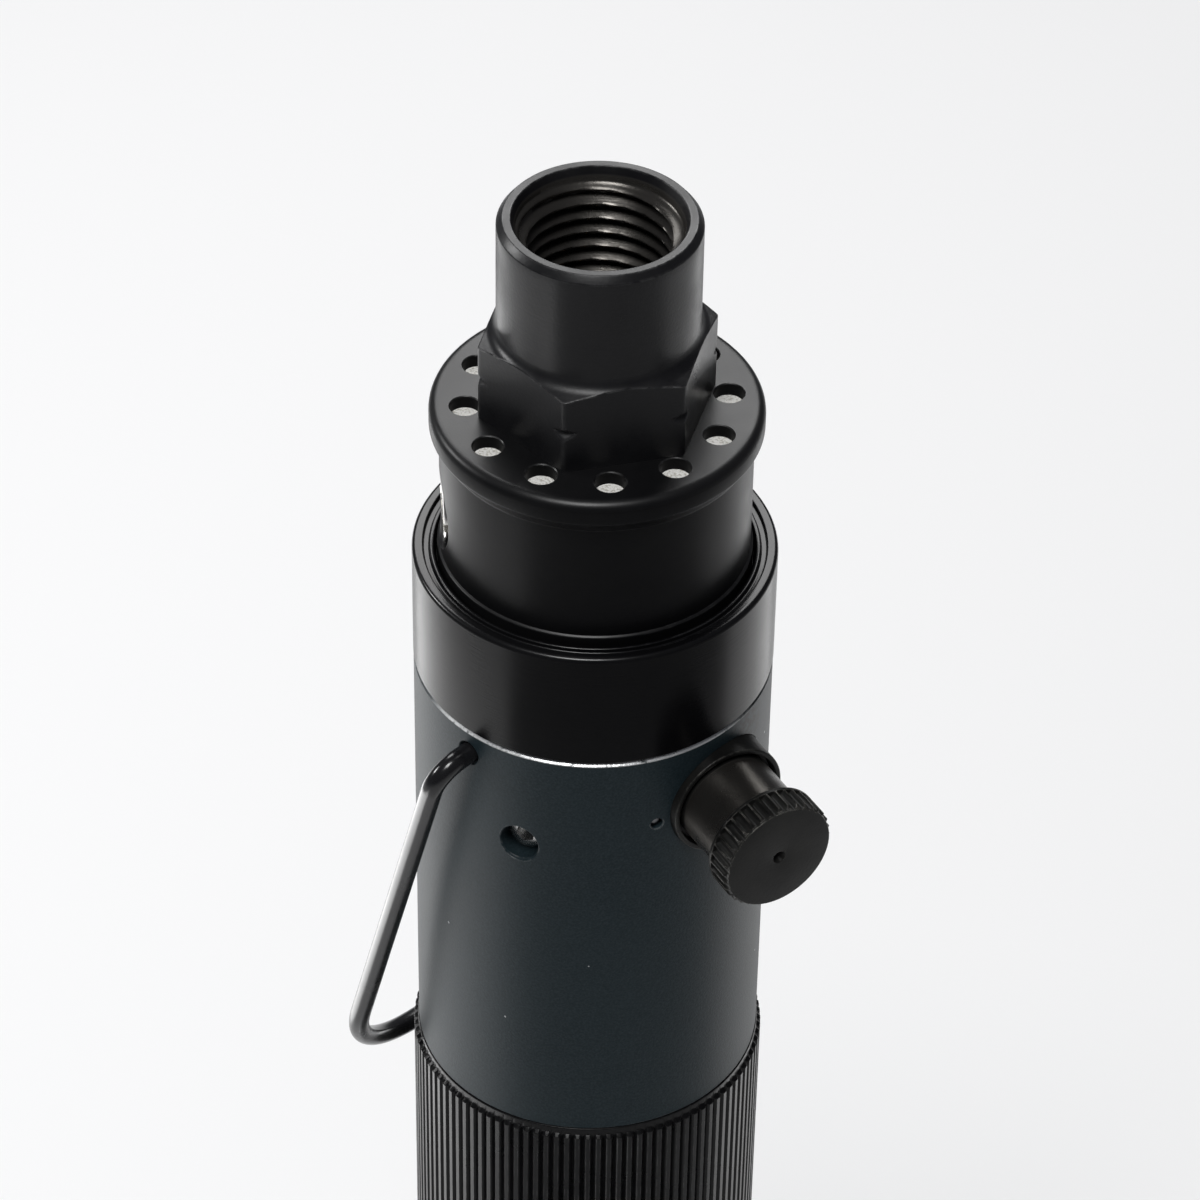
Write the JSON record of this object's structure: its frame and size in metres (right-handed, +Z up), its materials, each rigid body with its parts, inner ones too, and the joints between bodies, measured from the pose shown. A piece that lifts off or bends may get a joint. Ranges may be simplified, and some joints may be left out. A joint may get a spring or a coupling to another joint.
{
  "type": "pneumatic bottle capping tool",
  "caption": "Hand-held straight air-powered capping tool with threaded air inlet, hanging bail, reversing knob, fluted grip, torque ring and bell chuck.",
  "frame": {"origin": "centre of the chuck's rim, on which the tool stands", "axes": "+Z up the tool to the air inlet, -Y towards the front of the tool, +X to its right"},
  "size_m": [0.044, 0.044, 0.2472],
  "materials": {
    "black_oxide_steel": "black oxide, satin",
    "black_anodised": "black anodised, satin gloss",
    "blue_grey_anodised": "bead-blasted blue-grey anodising",
    "bright_steel": "ground steel",
    "dark_steel": "hardened steel, oiled",
    "nickel": "nickel plate, polished",
    "satin_aluminium": "turned aluminium",
    "bronze": "sintered bronze",
    "brass": "turned brass",
    "sintered_white": "porous white silencer",
    "silicone": "silicone rubber",
    "seal_rubber": "nitrile rubber",
    "vane_composite": "fibre-filled resin",
    "gasket_fibre": "compressed fibre sheet"
  },
  "bodies": {
    "housing": {"inlet_fitting": "black_oxide_steel", "inlet_strainer": "bronze", "exhaust_cap": "black_anodised", "silencer_disc": "sintered_white", "collar_ring": "black_anodised", "body_tube": "blue_grey_anodised", "valve_bush": "black_oxide_steel", "lock_pin": "bright_steel", "set_screw": "bright_steel", "valve_body": "satin_aluminium", "inlet_seal": "seal_rubber", "valve_seat": "brass", "valve_spring": "bright_steel", "end_gasket": "gasket_fibre", "rear_end_plate": "dark_steel", "rear_bearing_outer": "bright_steel", "front_bearing_outer": "bright_steel", "output_bearing_outer": "bright_steel", "bearing_balls": "bright_steel", "cylinder_liner": "dark_steel", "liner_pin": "bright_steel", "front_end_plate": "dark_steel", "ring_gear": "dark_steel", "clutch_case": "black_oxide_steel", "nose_cap": "black_oxide_steel", "nose_bush": "bronze", "grip_sleeve": "black_anodised"},
    "hanger": {"bail": "black_oxide_steel"},
    "reverse_valve": {"reverse_knob": "black_anodised", "reverse_spool": "bright_steel", "spool_seal": "seal_rubber"},
    "regulator": {"regulator_screw": "nickel", "regulator_seal": "seal_rubber"},
    "starter": {"push_rod": "bright_steel"},
    "throttle": {"valve_ball": "bright_steel"},
    "capping_head": {"spindle": "bright_steel", "chuck_bell": "satin_aluminium", "chuck_liner": "silicone", "chuck_screws": "black_oxide_steel", "start_spring": "bright_steel"},
    "motor_rotor": {"rotor": "dark_steel", "vanes": "vane_composite", "rear_bearing_inner": "bright_steel", "front_bearing_inner": "bright_steel"},
    "first_stage": {"carrier_1": "dark_steel"},
    "second_stage": {"carrier_2": "dark_steel", "output_bearing_inner": "bright_steel", "clutch_driver": "dark_steel", "clutch_balls": "bright_steel", "clutch_cup": "dark_steel", "clutch_spring": "bright_steel"},
    "torque_adjuster": {"torque_ring": "black_anodised"},
    "spring_carrier": {"spring_seat": "bright_steel", "thrust_washer": "bronze"},
    "planet_1a_gear": {"planet_1a": "dark_steel"},
    "planet_1b_gear": {"planet_1b": "dark_steel"},
    "planet_1c_gear": {"planet_1c": "dark_steel"},
    "planet_2a_gear": {"planet_2a": "dark_steel"},
    "planet_2b_gear": {"planet_2b": "dark_steel"},
    "planet_2c_gear": {"planet_2c": "dark_steel"}
  },
  "joints": [
    {"name": "bail_swing", "type": "hinge", "parent": "housing", "child": "hanger", "pos_m": [0, 0, 0.2012], "axis": [0.6743, 0.7385, 0], "range_deg": [0, 322]},
    {"name": "reverse_turn", "type": "hinge", "parent": "housing", "child": "reverse_valve", "pos_m": [0.00326, 0.00196, 0.1968], "axis": [0.515, -0.8572, 0], "range_deg": [0, 90]},
    {"name": "regulator_turn", "type": "hinge", "parent": "housing", "child": "regulator", "pos_m": [0, 0, 0.2192], "axis": [-0.9962, -0.0872, 0], "range_deg": [0, 270]},
    {"name": "start_push", "type": "slide", "parent": "housing", "child": "starter", "axis": [0, 0, 1], "range_m": [0, 0.002], "stiffness_N_per_m": 2500, "springref_m": -0.006, "deforming": ["start_spring", "valve_spring"]},
    {"name": "throttle_lift", "type": "slide", "parent": "housing", "child": "throttle", "axis": [0, 0, 1], "range_m": [0, 0.002]},
    {"name": "chuck_turn", "type": "hinge", "parent": "starter", "child": "capping_head", "pos_m": [0, 0, 0.045], "axis": [0, 0, 1], "continuous": true},
    {"name": "output_turn", "type": "hinge", "parent": "housing", "child": "second_stage", "pos_m": [0, 0, 0.107], "axis": [0, 0, 1], "continuous": true},
    {"name": "carrier_turn", "type": "hinge", "parent": "housing", "child": "first_stage", "pos_m": [0, 0, 0.123], "axis": [0, 0, 1], "continuous": true},
    {"name": "rotor_turn", "type": "hinge", "parent": "housing", "child": "motor_rotor", "pos_m": [0, 0, 0.158], "axis": [0, 0, 1], "continuous": true},
    {"name": "torque_turn", "type": "hinge", "parent": "housing", "child": "torque_adjuster", "pos_m": [0, 0, 0.0674], "axis": [0, 0, 1], "range_deg": [0, 270]},
    {"name": "seat_lift", "type": "slide", "parent": "housing", "child": "spring_carrier", "axis": [0, 0, 1], "range_m": [0, 0.0025], "deforming": ["clutch_spring"]},
    {"name": "planet_1a_spin", "type": "hinge", "parent": "first_stage", "child": "planet_1a_gear", "pos_m": [0.006, 0, 0.128], "axis": [0, 0, 1], "continuous": true},
    {"name": "planet_1b_spin", "type": "hinge", "parent": "first_stage", "child": "planet_1b_gear", "pos_m": [-0.003, 0.0052, 0.128], "axis": [0, 0, 1], "continuous": true},
    {"name": "planet_1c_spin", "type": "hinge", "parent": "first_stage", "child": "planet_1c_gear", "pos_m": [-0.003, -0.0052, 0.128], "axis": [0, 0, 1], "continuous": true},
    {"name": "planet_2a_spin", "type": "hinge", "parent": "second_stage", "child": "planet_2a_gear", "pos_m": [0.006, 0, 0.117], "axis": [0, 0, 1], "continuous": true},
    {"name": "planet_2b_spin", "type": "hinge", "parent": "second_stage", "child": "planet_2b_gear", "pos_m": [-0.003, 0.0052, 0.117], "axis": [0, 0, 1], "continuous": true},
    {"name": "planet_2c_spin", "type": "hinge", "parent": "second_stage", "child": "planet_2c_gear", "pos_m": [-0.003, -0.0052, 0.117], "axis": [0, 0, 1], "continuous": true}
  ],
  "couplings": [
    {"joint": "throttle_lift", "follows": "start_push", "ratio": 1},
    {"joint": "output_turn", "follows": "rotor_turn", "ratio": 0.04},
    {"joint": "carrier_turn", "follows": "rotor_turn", "ratio": 0.2},
    {"joint": "chuck_turn", "follows": "rotor_turn", "ratio": 0.04},
    {"joint": "seat_lift", "follows": "torque_turn", "m_per_rad": 0.00053},
    {"joint": "planet_1a_spin", "follows": "rotor_turn", "ratio": -0.53333},
    {"joint": "planet_1b_spin", "follows": "rotor_turn", "ratio": -0.53333},
    {"joint": "planet_1c_spin", "follows": "rotor_turn", "ratio": -0.53333},
    {"joint": "planet_2a_spin", "follows": "rotor_turn", "ratio": -0.10667},
    {"joint": "planet_2b_spin", "follows": "rotor_turn", "ratio": -0.10667},
    {"joint": "planet_2c_spin", "follows": "rotor_turn", "ratio": -0.10667}
  ]
}
